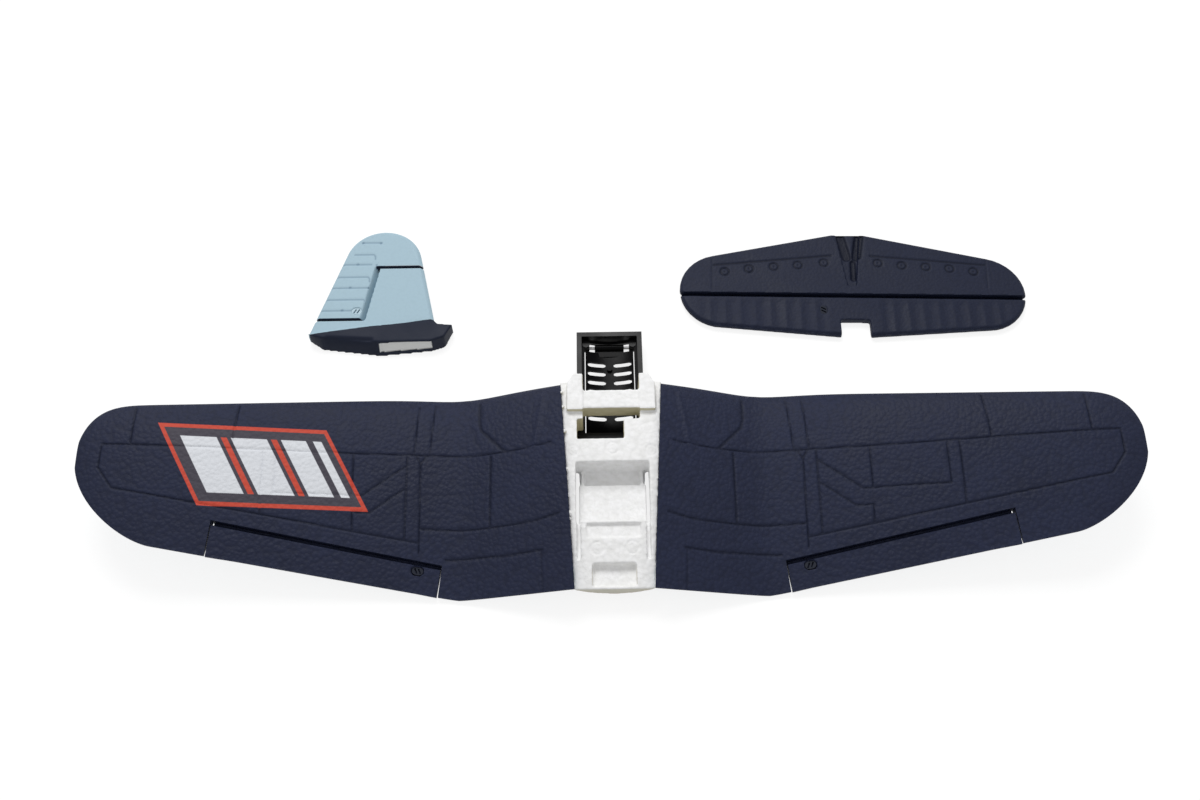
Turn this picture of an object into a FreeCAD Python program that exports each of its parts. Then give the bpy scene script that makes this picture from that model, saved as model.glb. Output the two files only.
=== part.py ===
"""Foam wing set for a small radio controlled warbird: wing, tailplane and fin.

The wing is a cranked (inverted gull) foam moulding in three glued pieces.
The tail pieces lie beside it, as they come out of the box.
Units are millimetres. +X is the wing's right, +Y is forward, +Z is up.
The floor that the set lies on is z = 0, and the wing's centre line is x = 0.
Sizes below are measured from the wing's own y = 0, and each piece is moved
forwards or back at the end, so that the origin is in the middle of the set.
"""
import FreeCAD
import Part
import math
import os
from FreeCAD import Vector

os.makedirs("parts", exist_ok=True)

# Wing planform
span = 401.4
half_span = span / 2
crank_x = 58.0
leading_edge_y = 36.0
leading_edge_sweep = 0.086
crank_dip = 1.3
crank_dip_reach = 20.0
trailing_edge_y = -47.2
trailing_edge_sweep = 0.149
tip_y = 4.0
front_tip_start = 174.0
front_tip_power = 4.1
rear_tip_start = 170.0
rear_tip_power = 1.7
tip_steps = 8

# Wing seen from the front
centre_rise = 11.4
rise_end_x = 18.0
dihedral_deg = 9.2
crank_softness = 1.0
crank_zone = 10.0
chord_line_z = 3.22

# Wing section
thickness_share = 0.11
upper_share = 1.25
lower_share = 0.75
incidence = 0.045
edge_thickness = 0.8
section_steps = 10

# Seams between the centre block and the panels
seam_front_x = 19.8
seam_rear_x = 14.7
root_overlap = 3.0

# Ailerons
aileron_inner_x = 65.0
aileron_outer_x = 148.5
hinge_inner_y = -34.6
hinge_sweep = 0.167
aileron_end_slant = 1.4
aileron_end_gap = 0.5
hinge_gap = 0.3
hinge_bevel_deg = 26.0
hinge_axis_lift = 0.45
hinge_film_thickness = 0.3
hinge_film_width = 2.4

# Horn sockets
socket_length = 4.2
socket_width = 3.0
socket_depth = 1.0
socket_slot_length = 2.2
socket_slot_width = 0.6
socket_slot_pitch = 1.4
socket_slot_turn_deg = -30.0
socket_sink = 0.35
aileron_socket_x = 73.5
aileron_socket_back = 3.4

# Centre block
block_front_y = 36.0
block_rear_y = -46.6
deck_drop = 1.6
belly_radius = 25.0
belly_front_z = 1.5
belly_rear_z = 4.5
tab_inner_x = 11.0
tab_outer_x = 17.2
tab_rear_y = 22.6
tab_front_y = 38.4
tab_top_z = 20.4
tab_chamfer_x = 2.6
tab_chamfer_y = 4.4
bridge_rear_y = 23.4
bridge_front_y = 31.3
bridge_bottom_z = 12.5
bridge_step = 0.7
notch_left_x = -13.4
notch_right_x = 4.7
notch_middle_y = 19.5
notch_rear_y = 11.0
pocket_half_width = 14.0
pocket_front_y = 1.6
pocket_rear_y = -21.2
pocket_floor_z = 6.6
pocket_step_y = -4.4
pocket_raise = 2.0
pocket_side_gap = 1.2
pocket_rib_width = 1.2
pocket_rib_inset = 2.6
tray_half_width = 10.2
tray_front_y = -22.3
tray_rear_y = -27.9
tray_depth = 1.4
side_groove_width = 1.6
side_groove_inner_x = 12.2
side_groove_front_y = -19.1
side_groove_rear_y = -35.8
side_groove_depth = 1.2
tail_recess_half_width = 8.2
tail_recess_front_y = -37.1
tail_recess_depth = 3.4
tail_lip = 1.2

# Joiner rod buried in the foam
joiner_diameter = 2.0
joiner_half_length = 36.0
joiner_y = 6.0
joiner_z = 11.7

# Battery bay frame and its door
frame_half_width = 13.4
frame_front_y = 65.0
frame_rear_y = 14.0
frame_top_z = 7.5
frame_wall = 2.0
frame_front_bar = 2.8
frame_rear_bar = 4.6
frame_lip = 1.2
frame_skin = 1.4
door_gap = 0.35
door_thickness = 1.2
door_front_gap = 0.5
pin_diameter = 1.2
pin_y = 60.2
pin_z = 2.3
pin_clearance = 0.05
knuckle_diameter = 3.0
knuckle_half_length = 6.0
ear_diameter = 3.2
ear_inner_x = 8.2
boss_diameter = 3.0
boss_height = 0.8
slot_rows = 7
slot_pitch = 4.2
slot_width = 2.2
slot_length = 7.6
slot_inner_x = 1.5
slot_end_steps = 4
slot_front_y = 52.1
door_boss_diameter = 2.2
door_boss_height = 0.5

# Tailplane and elevator, before they are turned and placed
tail_centre_x = 104.0
tail_centre_y = 85.5
tail_turn_deg = -1.8
tail_half_span = 73.4
tail_front_y = 30.0
tail_front_half_width = 7.0
tail_shoulder_x = 59.0
tail_shoulder_front_y = 18.4
tail_shoulder_rear_y = -17.0
tail_rear_y = -21.4
tail_tip_y = 0.8
tail_thickness = 3.6
tail_edge_chamfer = 1.1
tail_tip_steps = 16
notch_half_width = 6.2
notch_depth = 7.6
elevator_hinge_y = -1.2
elevator_lift = 0.2
fin_seat_front_half = 5.6
fin_seat_rear_half = 1.9
fin_seat_rear_y = 3.0
fin_seat_depth = 1.1
elevator_socket_x = -13.0
elevator_socket_y = -9.0

# Fin and rudder, lying on their left side
fin_mid_z = 3.3
fin_thickness = 4.2
fin_edge_chamfer = 1.2
base_thickness = 6.6
base_heel_x = -119.0
base_heel_y = 62.6
base_heel_lean = 2.4
base_keel_x = -95.0
base_keel_y = 59.2
base_keel_lean = 3.5
base_toe_x = -73.8
base_toe_y = 61.2
base_toe_lean = 1.6
spur_low_x = -68.2
spur_low_y = 63.2
spur_tip_x = -65.2
spur_tip_y = 70.4
spur_root_x = -71.4
spur_root_y = 71.0
base_crest_x = -105.8
base_crest_y = 69.8
rudder_foot_x = -124.9
rudder_foot_y = 66.8
rudder_top_x = -110.6
rudder_top_y = 112.0
fin_crown_y = 119.4
fin_front_top_x = -80.9
fin_front_top_y = 109.2
fin_front_foot_x = -72.8
fin_front_foot_y = 72.6
rudder_hinge_top_x = -97.4
rudder_hinge_foot_x = -102.0
balance_gap_y = 100.6
rudder_gap_y = 74.6
balance_gap = 0.8
rudder_socket_x = -105.6
rudder_socket_y = 78.4

# The set's middle, from the root's trailing edge to the fin's crown
set_middle_y = (trailing_edge_y + fin_crown_y) / 2


def prism(points, low, high):
    """A straight prism on a plan outline of (x, y) points."""
    corners = [Vector(x, y, low) for x, y in points]
    outline = Part.makePolygon(corners + corners[:1])
    return Part.Face(outline).extrude(Vector(0, 0, high - low))


def box(x0, x1, y0, y1, z0, z1):
    """A box between two corners."""
    return Part.makeBox(x1 - x0, y1 - y0, z1 - z0, Vector(x0, y0, z0))


def mirrored(shape):
    """The same shape on the other side of the wing's centre plane."""
    return shape.mirror(Vector(0, 0, 0), Vector(1, 0, 0))


def save(name, shape):
    """Move one piece to the set's origin and write it as a STEP file."""
    moved = shape.copy()
    moved.translate(Vector(0, -set_middle_y, 0))
    moved.exportStep("parts/" + name + ".step")


def tip_share(x, start, power):
    """How much of the chord is left at a station, from 1 down to 0 at the tip."""
    reach = max(0.0, (x - start) / (half_span - start))
    return math.sqrt(max(0.0, 1 - reach ** power))


def front_edge(x):
    """Plan position of the wing's leading edge."""
    line = leading_edge_y - leading_edge_sweep * max(0.0, x - crank_x)
    line -= crank_dip * math.exp(-((x - crank_x) / crank_dip_reach) ** 2)
    return tip_y + (line - tip_y) * tip_share(x, front_tip_start, front_tip_power)


def rear_edge(x):
    """Plan position of the wing's trailing edge."""
    line = trailing_edge_y + trailing_edge_sweep * max(0.0, x - crank_x)
    return tip_y + (line - tip_y) * tip_share(x, rear_tip_start, rear_tip_power)


def gull_height(x):
    """Height of the chord line above its lowest point, with a soft crank."""
    inner = centre_rise * (crank_x - x) / (crank_x - rise_end_x)
    outer = (x - crank_x) * math.tan(math.radians(dihedral_deg))
    return (inner + outer) / 2 + math.hypot((inner - outer) / 2, crank_softness)


def half_thickness(u):
    """Half thickness of the section at a share u of the chord, per unit of thickness."""
    curve = 0.2969 * math.sqrt(u) - 0.126 * u - 0.3516 * u ** 2 + 0.2843 * u ** 3 - 0.1036 * u ** 4
    return 5 * max(0.0, curve)


def skin_height(x, y, upper):
    """Height of the wing's upper or lower skin at a plan position."""
    front = front_edge(x)
    chord = front - rear_edge(x)
    u = min(1.0, max(0.0, (front - y) / chord))
    middle = chord_line_z - crank_softness + gull_height(x) + (0.5 - u) * incidence * chord
    swell = thickness_share * chord * half_thickness(u)
    edge = edge_thickness / 2 * min(1.0, chord / 40) * u
    if upper:
        return middle + upper_share * swell + edge
    return middle - lower_share * swell - edge


def wing_section(x):
    """Closed section of the wing in the plane of one station."""
    front = front_edge(x)
    chord = front - rear_edge(x)
    shares = [(1 - math.cos(math.pi * i / section_steps)) / 2 for i in range(section_steps + 1)]
    points = []
    for u in reversed(shares):
        y = front - u * chord
        points.append(Vector(x, y, skin_height(x, y, True)))
    for u in shares[1:]:
        y = front - u * chord
        points.append(Vector(x, y, skin_height(x, y, False)))
    return Part.makePolygon(points + points[:1])


def spread(start, end, count):
    """Evenly spaced stations from a start up to, but without, an end."""
    return [start + (end - start) * i / count for i in range(count)]


def wing_loft():
    """The right half of the wing as one smooth form, from inside the block to the tip."""
    root = min(seam_rear_x, seam_front_x) - root_overlap
    stations = spread(root, crank_x - crank_zone, 5)
    stations += spread(crank_x - crank_zone, crank_x + crank_zone, 4)
    stations += spread(crank_x + crank_zone, rear_tip_start, 6)
    tip_length = half_span - rear_tip_start
    for i in range(tip_steps):
        stations.append(rear_tip_start + tip_length * math.sin(math.pi / 2 * i / tip_steps))
    return Part.makeLoft([wing_section(x) for x in stations], True, False)


def seam_x(y):
    """Plan position of the seam between the centre block and the panel."""
    share = (block_front_y - y) / (block_front_y - block_rear_y)
    return seam_front_x + (seam_rear_x - seam_front_x) * share


def hinge_y(x):
    """Plan position of the aileron's hinge line."""
    return hinge_inner_y + (x - aileron_inner_x) * hinge_sweep


def hinge_point(x):
    """A point of the aileron's hinge axis, just above the lower skin."""
    ends = []
    for station in (aileron_inner_x, aileron_outer_x):
        y = hinge_y(station)
        ends.append(Vector(station, y, skin_height(station, y, False) + hinge_axis_lift))
    share = (x - aileron_inner_x) / (aileron_outer_x - aileron_inner_x)
    return ends[0] + (ends[1] - ends[0]) * share


def hinge_sweep_of(profile, start_x, end_x):
    """Sweep a (forward, up) profile about the hinge axis along that axis."""
    start = hinge_point(start_x)
    run = hinge_point(end_x) - start
    corners = [Vector(start.x, start.y + a, start.z + b) for a, b in profile]
    return Part.Face(Part.makePolygon(corners + corners[:1])).extrude(run)


def bevelled(reach, height):
    """Profile behind a hinge axis, with a front face that leans back above it."""
    lean = math.tan(math.radians(hinge_bevel_deg)) * height
    front = -hinge_gap
    return [(front, -height), (front, 0), (front - lean, height), (-reach, height), (-reach, -height)]


def aileron_bay(gap):
    """Plan area of the aileron, grown by a gap at both ends."""
    reach = 30.0
    slant = aileron_end_slant * reach / 12.5
    inner = aileron_inner_x - gap
    outer = aileron_outer_x + gap
    return prism([(inner - slant, hinge_y(inner) + reach), (outer - slant, hinge_y(outer) + reach),
                  (outer + slant, hinge_y(outer) - reach), (inner + slant, hinge_y(inner) - reach)],
                 -10, 60)


def socket_body(thickness):
    """Horn socket: a rounded plate with two slanted slots, top face at z = 0."""
    radius = socket_width / 2
    straight = socket_length - socket_width
    plate = box(-straight / 2, straight / 2, -radius, radius, -thickness, 0)
    for side in (-1, 1):
        end = Part.makeCylinder(radius, thickness, Vector(side * straight / 2, 0, -thickness))
        plate = plate.fuse(end)
    return plate.removeSplitter()


def socket_slots():
    """The two slots that take the legs of a control horn."""
    slots = []
    for side in (-1, 1):
        middle = side * socket_slot_pitch / 2
        slot = box(-socket_slot_width / 2, socket_slot_width / 2,
                   -socket_slot_length / 2, socket_slot_length / 2,
                   -2 * socket_depth, socket_depth)
        slot.rotate(Vector(0, 0, 0), Vector(0, 0, 1), socket_slot_turn_deg)
        slot.translate(Vector(middle, 0, 0))
        slots.append(slot)
    return slots


def make_socket(turn_deg, place, tilt_axis=Vector(1, 0, 0), tilt_deg=0.0):
    """A horn socket at its place, with the blank that cuts its seat."""
    plate = socket_body(socket_depth)
    blank = socket_body(socket_depth)
    head = socket_body(socket_depth)
    head.translate(Vector(0, 0, socket_depth))
    blank = blank.fuse(head).removeSplitter()
    for slot in socket_slots():
        plate = plate.cut(slot)
    for shape in (plate, blank):
        shape.rotate(Vector(0, 0, 0), Vector(0, 0, 1), turn_deg)
        shape.rotate(Vector(0, 0, 0), tilt_axis, tilt_deg)
        shape.translate(place)
    return plate, blank


def make_right_panel_and_aileron():
    """The right panel, aileron, hinge film and horn socket, cut from one form."""
    wing = wing_loft()
    outside = prism([(seam_x(80), 80), (half_span + 10, 80), (half_span + 10, -90), (seam_x(-90), -90)],
                    -10, 60)
    panel = wing.common(outside)
    joiner = make_joiner()
    panel = panel.cut(joiner)

    reach = 40.0
    over = 20.0
    start = aileron_inner_x - over
    end = aileron_outer_x + over
    behind = hinge_sweep_of([(hinge_gap, -reach / 2), (hinge_gap, reach / 2),
                             (-reach, reach / 2), (-reach, -reach / 2)], start, end)
    moving = hinge_sweep_of(bevelled(reach, reach / 2), start, end)
    aileron = wing.common(moving).common(aileron_bay(0.0))
    panel = panel.cut(behind.common(aileron_bay(aileron_end_gap)))

    film = hinge_sweep_of([(0, -hinge_film_thickness / 2), (0, hinge_film_thickness / 2),
                           (hinge_film_width, hinge_film_thickness / 2),
                           (hinge_film_width, -hinge_film_thickness / 2)],
                          aileron_inner_x + 1, aileron_outer_x - 1)
    panel = panel.cut(film)

    middle = hinge_y(aileron_socket_x) - aileron_socket_back
    top = skin_height(aileron_socket_x, middle, True) - socket_sink
    place = Vector(aileron_socket_x, middle, top)
    turn = math.degrees(math.atan(hinge_sweep))
    socket, seat = make_socket(turn, place, Vector(0, 1, 0), -dihedral_deg)
    aileron = aileron.cut(seat)
    return panel, aileron, film, socket


def make_joiner():
    """A straight rod that ties both panels through the centre block."""
    start = Vector(-joiner_half_length, joiner_y, joiner_z)
    return Part.makeCylinder(joiner_diameter / 2, 2 * joiner_half_length, start, Vector(1, 0, 0))


def deck_height(y):
    """Height of the block's deck, a little below the root of the panels."""
    return skin_height(seam_front_x, y, True) - deck_drop


def belly_slope():
    """How fast the belly rises towards the rear, as a share of the length."""
    return (belly_rear_z - belly_front_z) / (block_front_y - block_rear_y)


def belly_form(skin=0.0):
    """Everything above the rounded belly, or above the inside of its skin."""
    half = belly_radius - 1.0
    rise = belly_radius - math.sqrt(belly_radius ** 2 - half ** 2)
    high = rise + 40
    arc = Part.Arc(Vector(-half, 0, rise), Vector(0, 0, 0), Vector(half, 0, rise)).toShape()
    right = Part.makeLine(Vector(half, 0, rise), Vector(half, 0, high))
    top = Part.makeLine(Vector(half, 0, high), Vector(-half, 0, high))
    left = Part.makeLine(Vector(-half, 0, high), Vector(-half, 0, rise))
    form = Part.Face(Part.Wire([arc, right, top, left])).extrude(Vector(0, -3 * frame_front_y, 0))
    form.translate(Vector(0, 2 * frame_front_y - block_front_y, skin))
    form.rotate(Vector(0, 0, 0), Vector(1, 0, 0), -math.degrees(math.atan(belly_slope())))
    form.translate(Vector(0, block_front_y, belly_front_z))
    return form


def frame_space():
    """The space that the battery bay frame takes up under the block."""
    return box(-frame_half_width, frame_half_width, frame_rear_y, frame_front_y, -5, frame_top_z)


def make_centre_block():
    """White foam block: belly, deck, gear pocket, battery bay and front tabs."""
    plan = prism([(-seam_front_x, block_front_y), (seam_front_x, block_front_y),
                  (seam_rear_x, block_rear_y), (-seam_rear_x, block_rear_y)], -5, 60)
    deck_points = []
    for i in range(7):
        y = block_front_y + (block_rear_y - block_front_y) * i / 6
        deck_points.append(Vector(-30, y, deck_height(min(y, block_front_y - 9))))
    deck = Part.BSplineCurve()
    deck.interpolate(deck_points)
    foot_front = Vector(-30, block_front_y, -5)
    foot_rear = Vector(-30, block_rear_y, -5)
    side = Part.Wire([deck.toShape(), Part.makeLine(deck_points[-1], foot_rear),
                      Part.makeLine(foot_rear, foot_front), Part.makeLine(foot_front, deck_points[0])])
    block = Part.Face(side).extrude(Vector(60, 0, 0)).common(plan)

    for side_sign in (-1, 1):
        corners = [(tab_inner_x, tab_rear_y), (tab_outer_x, tab_rear_y),
                   (tab_outer_x, tab_front_y - tab_chamfer_y),
                   (tab_outer_x - tab_chamfer_x, tab_front_y), (tab_inner_x, tab_front_y)]
        block = block.fuse(prism([(side_sign * x, y) for x, y in corners], frame_top_z, tab_top_z))
    block = block.common(belly_form())

    high = 40.0
    block = block.cut(box(-tab_inner_x, tab_inner_x, frame_rear_y, tab_front_y + 5,
                          frame_top_z - 1, bridge_bottom_z))
    block = block.cut(box(-tab_inner_x, tab_inner_x, bridge_rear_y, tab_front_y + 5,
                          bridge_bottom_z - 1, high))
    block = block.cut(box(-tab_inner_x, tab_inner_x, notch_middle_y, bridge_rear_y + 1,
                          frame_top_z - 1, high))
    block = block.cut(box(notch_left_x, notch_right_x, notch_rear_y, notch_middle_y + 0.01,
                          frame_top_z, high))
    block = block.fuse(box(-tab_inner_x, tab_inner_x, bridge_rear_y, bridge_front_y,
                           bridge_bottom_z, tab_top_z - bridge_step))
    block = block.cut(frame_space())

    block = block.cut(box(-pocket_half_width, pocket_half_width, pocket_rear_y, pocket_front_y,
                          pocket_floor_z, high))
    raised_half = pocket_half_width - pocket_side_gap
    block = block.fuse(box(-raised_half, raised_half, pocket_rear_y,
                           pocket_step_y, pocket_floor_z - 1, pocket_floor_z + pocket_raise))
    for side_sign in (-1, 1):
        middle = side_sign * (pocket_half_width - pocket_rib_inset)
        half_rib = pocket_rib_width / 2
        block = block.fuse(box(middle - half_rib, middle + half_rib, pocket_step_y - 1, pocket_front_y,
                               pocket_floor_z - 1, pocket_floor_z + pocket_raise))
        groove_in = side_sign * side_groove_inner_x
        groove_out = side_sign * (side_groove_inner_x + side_groove_width)
        low_x = min(groove_in, groove_out)
        high_x = max(groove_in, groove_out)
        floor = deck_height(side_groove_rear_y) - side_groove_depth
        block = block.cut(box(low_x, high_x, side_groove_rear_y, side_groove_front_y, floor, high))
    tray_floor = deck_height(tray_front_y) - tray_depth
    block = block.cut(box(-tray_half_width, tray_half_width, tray_rear_y, tray_front_y,
                          tray_floor, high))
    recess_floor = deck_height(tail_recess_front_y) - tail_recess_depth
    block = block.cut(box(-tail_recess_half_width, tail_recess_half_width,
                          block_rear_y + tail_lip, tail_recess_front_y, recess_floor, high))
    return block.cut(make_joiner()).removeSplitter()


def make_frame():
    """Black moulded frame of the battery bay, with the ears that hold the door's pin."""
    outer = frame_space().common(belly_form())
    opening = box(-frame_half_width + frame_wall + frame_lip, frame_half_width - frame_wall - frame_lip,
                  frame_rear_y + frame_rear_bar, frame_front_y - frame_front_bar,
                  -5, frame_top_z + 5)
    frame = outer.cut(opening)
    hollow = box(-frame_half_width + frame_wall, frame_half_width - frame_wall,
                 frame_rear_y + frame_rear_bar, frame_front_y - frame_wall,
                 -5, frame_top_z + 5)
    frame = frame.cut(hollow.common(belly_form(frame_skin)))
    for side_sign in (-1, 1):
        inner = side_sign * ear_inner_x
        length = side_sign * (frame_half_width - frame_wall - ear_inner_x)
        start = Vector(min(inner, inner + length), pin_y, pin_z)
        ear = Part.makeCylinder(ear_diameter / 2, abs(length), start, Vector(1, 0, 0))
        foot = box(start.x, start.x + abs(length), pin_y, frame_front_y - frame_wall,
                   pin_z - ear_diameter / 2, pin_z + ear_diameter / 2)
        boss = Part.makeCylinder(boss_diameter / 2, boss_height,
                                 Vector(side_sign * (ear_inner_x + 1.4), pin_y + 0.8,
                                        pin_z + ear_diameter / 2 - 0.1))
        frame = frame.fuse(ear).fuse(foot).fuse(boss)
    bore = Part.makeCylinder(pin_diameter / 2, 2 * frame_half_width,
                             Vector(-frame_half_width, pin_y, pin_z), Vector(1, 0, 0))
    inside = box(-frame_half_width + frame_wall / 2, frame_half_width - frame_wall / 2,
                 frame_rear_y, frame_front_y, -5, frame_top_z)
    return frame.cut(bore.common(inside)).removeSplitter()


def make_pin():
    """Steel pin of the battery door."""
    half = frame_half_width - frame_wall / 2
    return Part.makeCylinder(pin_diameter / 2, 2 * half, Vector(-half, pin_y, pin_z), Vector(1, 0, 0))


def vent_slot(x0, x1, y, low, high):
    """A slot with rounded ends that lies across the door."""
    radius = slot_width / 2
    left = min(x0, x1) + radius
    right = max(x0, x1) - radius
    corners = []
    for x, start in ((right, -90), (left, 90)):
        for i in range(slot_end_steps + 1):
            angle = math.radians(start + 180 * i / slot_end_steps)
            corners.append((x + radius * math.cos(angle), y + radius * math.sin(angle)))
    return prism(corners, low, high)


def make_door():
    """Vented battery door, a curved plate that turns on the front pin."""
    half = frame_half_width - frame_wall - frame_lip - door_gap
    rear = frame_rear_y + frame_rear_bar + door_gap
    front = pin_y - ear_diameter / 2 - door_front_gap
    area = box(-half, half, rear, front, -5, 20)
    plate = belly_form().common(area)
    plate = plate.cut(belly_form(door_thickness))
    for row in range(slot_rows):
        y = slot_front_y - row * slot_pitch
        for side_sign in (-1, 1):
            plate = plate.cut(vent_slot(side_sign * slot_inner_x,
                                        side_sign * (slot_inner_x + slot_length), y, -5, 20))
    boss_y = slot_front_y - slot_pitch / 2
    boss = Part.makeCylinder(door_boss_diameter / 2, door_thickness + door_boss_height,
                             Vector(0, boss_y, belly_front_z + 0.1))
    plate = plate.fuse(boss)
    knuckle = Part.makeCylinder(knuckle_diameter / 2, 2 * knuckle_half_length,
                                Vector(-knuckle_half_length, pin_y, pin_z), Vector(1, 0, 0))
    web = box(-knuckle_half_length, knuckle_half_length, front - 2.0, pin_y, -1, pin_z)
    web = web.common(belly_form())
    bore = Part.makeCylinder(pin_diameter / 2 + pin_clearance, 4 * knuckle_half_length,
                             Vector(-2 * knuckle_half_length, pin_y, pin_z), Vector(1, 0, 0))
    return plate.fuse(web).fuse(knuckle).cut(bore).removeSplitter()


def tail_outline(scale_x):
    """Half of the tailplane's plan as edges, from the front centre to the rear centre."""
    front = Vector(scale_x * tail_front_half_width, tail_front_y, 0)
    shoulder_front = Vector(scale_x * tail_shoulder_x, tail_shoulder_front_y, 0)
    tip = Vector(scale_x * tail_half_span, tail_tip_y, 0)
    shoulder_rear = Vector(scale_x * tail_shoulder_x, tail_shoulder_rear_y, 0)
    rear = Vector(scale_x * notch_half_width, tail_rear_y, 0)
    notch_top = Vector(scale_x * notch_half_width, tail_rear_y + notch_depth, 0)
    arc = Part.Arc(shoulder_front, tip, shoulder_rear)
    points = [front] + arc.discretize(tail_tip_steps + 1) + [rear, notch_top]
    return [Part.makeLine(start, end) for start, end in zip(points, points[1:])]


def tail_form():
    """The whole tailplane with its elevator, as one rounded plate."""
    edges = tail_outline(1) + tail_outline(-1)
    edges.append(Part.makeLine(Vector(-tail_front_half_width, tail_front_y, 0),
                               Vector(tail_front_half_width, tail_front_y, 0)))
    top = tail_rear_y + notch_depth
    edges.append(Part.makeLine(Vector(-notch_half_width, top, 0), Vector(notch_half_width, top, 0)))
    outline = Part.Wire(Part.__sortEdges__(edges))
    plate = Part.Face(outline).extrude(Vector(0, 0, tail_thickness))
    rounded = []
    for edge in plate.Edges:
        bounds = edge.BoundBox
        flat = bounds.ZMax - bounds.ZMin < 0.01
        outer_edge = bounds.YMax > top + 0.1 or bounds.XMax > notch_half_width + 1 or \
            bounds.XMin < -notch_half_width - 1
        inner_edge = bounds.XMax < notch_half_width + 0.1 and bounds.XMin > -notch_half_width - 0.1
        if flat and outer_edge and not (inner_edge and bounds.YMax < 0):
            rounded.append(edge)
    return plate.makeChamfer(tail_edge_chamfer, rounded)


def place_tail(shape):
    """Turn and move a tail piece to where it lies."""
    shape.rotate(Vector(0, 0, 0), Vector(0, 0, 1), tail_turn_deg)
    shape.translate(Vector(tail_centre_x, tail_centre_y, 0))
    return shape


def make_tailplane_and_elevator():
    """Tailplane, elevator, their hinge film and the elevator's horn socket."""
    form = tail_form()
    reach = 100.0
    axis_z = hinge_axis_lift
    lean = math.tan(math.radians(hinge_bevel_deg)) * 10

    def across(profile):
        corners = [Vector(-reach, elevator_hinge_y + a, axis_z + b) for a, b in profile]
        return Part.Face(Part.makePolygon(corners + corners[:1])).extrude(Vector(2 * reach, 0, 0))

    behind = across([(hinge_gap, -5), (hinge_gap, 10), (-40, 10), (-40, -5)])
    moving = across([(-hinge_gap, -5), (-hinge_gap, 0), (-hinge_gap - lean, 10), (-40, 10), (-40, -5)])
    above = box(-reach, reach, -60, 60, elevator_lift, 20)
    elevator = form.common(moving).common(above)
    tailplane = form.cut(behind)
    film = box(-tail_half_span + 6, tail_half_span - 6, elevator_hinge_y,
               elevator_hinge_y + hinge_film_width, axis_z - hinge_film_thickness / 2,
               axis_z + hinge_film_thickness / 2)
    tailplane = tailplane.cut(film)
    seat_low = tail_thickness - fin_seat_depth
    seat = prism([(-fin_seat_front_half, tail_front_y + 2), (fin_seat_front_half, tail_front_y + 2),
                  (fin_seat_rear_half, fin_seat_rear_y), (-fin_seat_rear_half, fin_seat_rear_y)],
                 seat_low, tail_thickness + 5)
    tailplane = tailplane.cut(seat)
    place = Vector(elevator_socket_x, elevator_socket_y, tail_thickness - socket_sink)
    socket, socket_seat = make_socket(90, place)
    elevator = elevator.cut(socket_seat)
    return [place_tail(shape) for shape in (tailplane, elevator, film, socket)]


def rudder_hinge_x(y):
    """Plan position of the rudder's hinge line."""
    share = (y - rudder_gap_y) / (balance_gap_y - rudder_gap_y)
    return rudder_hinge_foot_x + (rudder_hinge_top_x - rudder_hinge_foot_x) * share


def inward_normal(start, end, inside):
    """Unit normal of a plan line, on the side of a point inside the outline."""
    along = end - start
    normal = Vector(-along.y, along.x, 0)
    normal.normalize()
    if normal.dot(inside - start) < 0:
        normal = normal * -1
    return normal


def crown_circle(rear_foot, rear_top, front_foot, front_top):
    """Centre and radius of the circle that touches both edges and the crown's height."""
    middle = (rear_foot + front_foot) * 0.5
    rear_normal = inward_normal(rear_foot, rear_top, middle)
    front_normal = inward_normal(front_foot, front_top, middle)
    rear_sum = rear_normal.dot(rear_foot) + fin_crown_y
    front_sum = front_normal.dot(front_foot) + fin_crown_y
    rear_y = rear_normal.y + 1
    front_y = front_normal.y + 1
    scale = rear_normal.x * front_y - front_normal.x * rear_y
    centre_x = (rear_sum * front_y - front_sum * rear_y) / scale
    centre_y = (rear_normal.x * front_sum - front_normal.x * rear_sum) / scale
    centre = Vector(centre_x, centre_y, 0)
    radius = fin_crown_y - centre_y
    return centre, radius, centre - rear_normal * radius, centre - front_normal * radius


def fin_blade():
    """The whole fin and rudder blade, as one rounded plate."""
    foot = Vector(rudder_foot_x, rudder_foot_y, 0)
    top = Vector(rudder_top_x, rudder_top_y, 0)
    front_top = Vector(fin_front_top_x, fin_front_top_y, 0)
    front_foot = Vector(fin_front_foot_x, fin_front_foot_y, 0)
    centre, radius, rear_touch, front_touch = crown_circle(foot, top, front_foot, front_top)
    crown = centre + Vector(0, radius, 0)
    edges = [Part.makeLine(foot, rear_touch), Part.Arc(rear_touch, crown, front_touch).toShape(),
             Part.makeLine(front_touch, front_foot), Part.makeLine(front_foot, foot)]
    plate = Part.Face(Part.Wire(edges)).extrude(Vector(0, 0, fin_thickness))
    plate.translate(Vector(0, 0, fin_mid_z - fin_thickness / 2))
    rounded = []
    for edge in plate.Edges:
        bounds = edge.BoundBox
        level = bounds.ZMax - bounds.ZMin < 0.01
        if level and bounds.YMax > front_foot.y + 1:
            rounded.append(edge)
    return plate.makeChamfer(fin_edge_chamfer, rounded)


def fin_base():
    """The fairing at the fin's foot, whose open side leans back from the floor."""
    corners = [(rudder_foot_x, rudder_foot_y, 0.0), (base_heel_x, base_heel_y, base_heel_lean),
               (base_keel_x, base_keel_y, base_keel_lean), (base_toe_x, base_toe_y, base_toe_lean),
               (spur_low_x, spur_low_y, base_toe_lean), (spur_tip_x, spur_tip_y, 0.0),
               (spur_root_x, spur_root_y, 0.0), (fin_front_foot_x, fin_front_foot_y, 0.0),
               (base_crest_x, base_crest_y, 0.0)]
    low = fin_mid_z - base_thickness / 2
    floor_points = [Vector(x, y, low) for x, y, lean in corners]
    top_points = [Vector(x, y + lean, low + base_thickness) for x, y, lean in corners]
    rings = [Part.makePolygon(points + points[:1]) for points in (floor_points, top_points)]
    return Part.makeLoft(rings, True, True)


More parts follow.
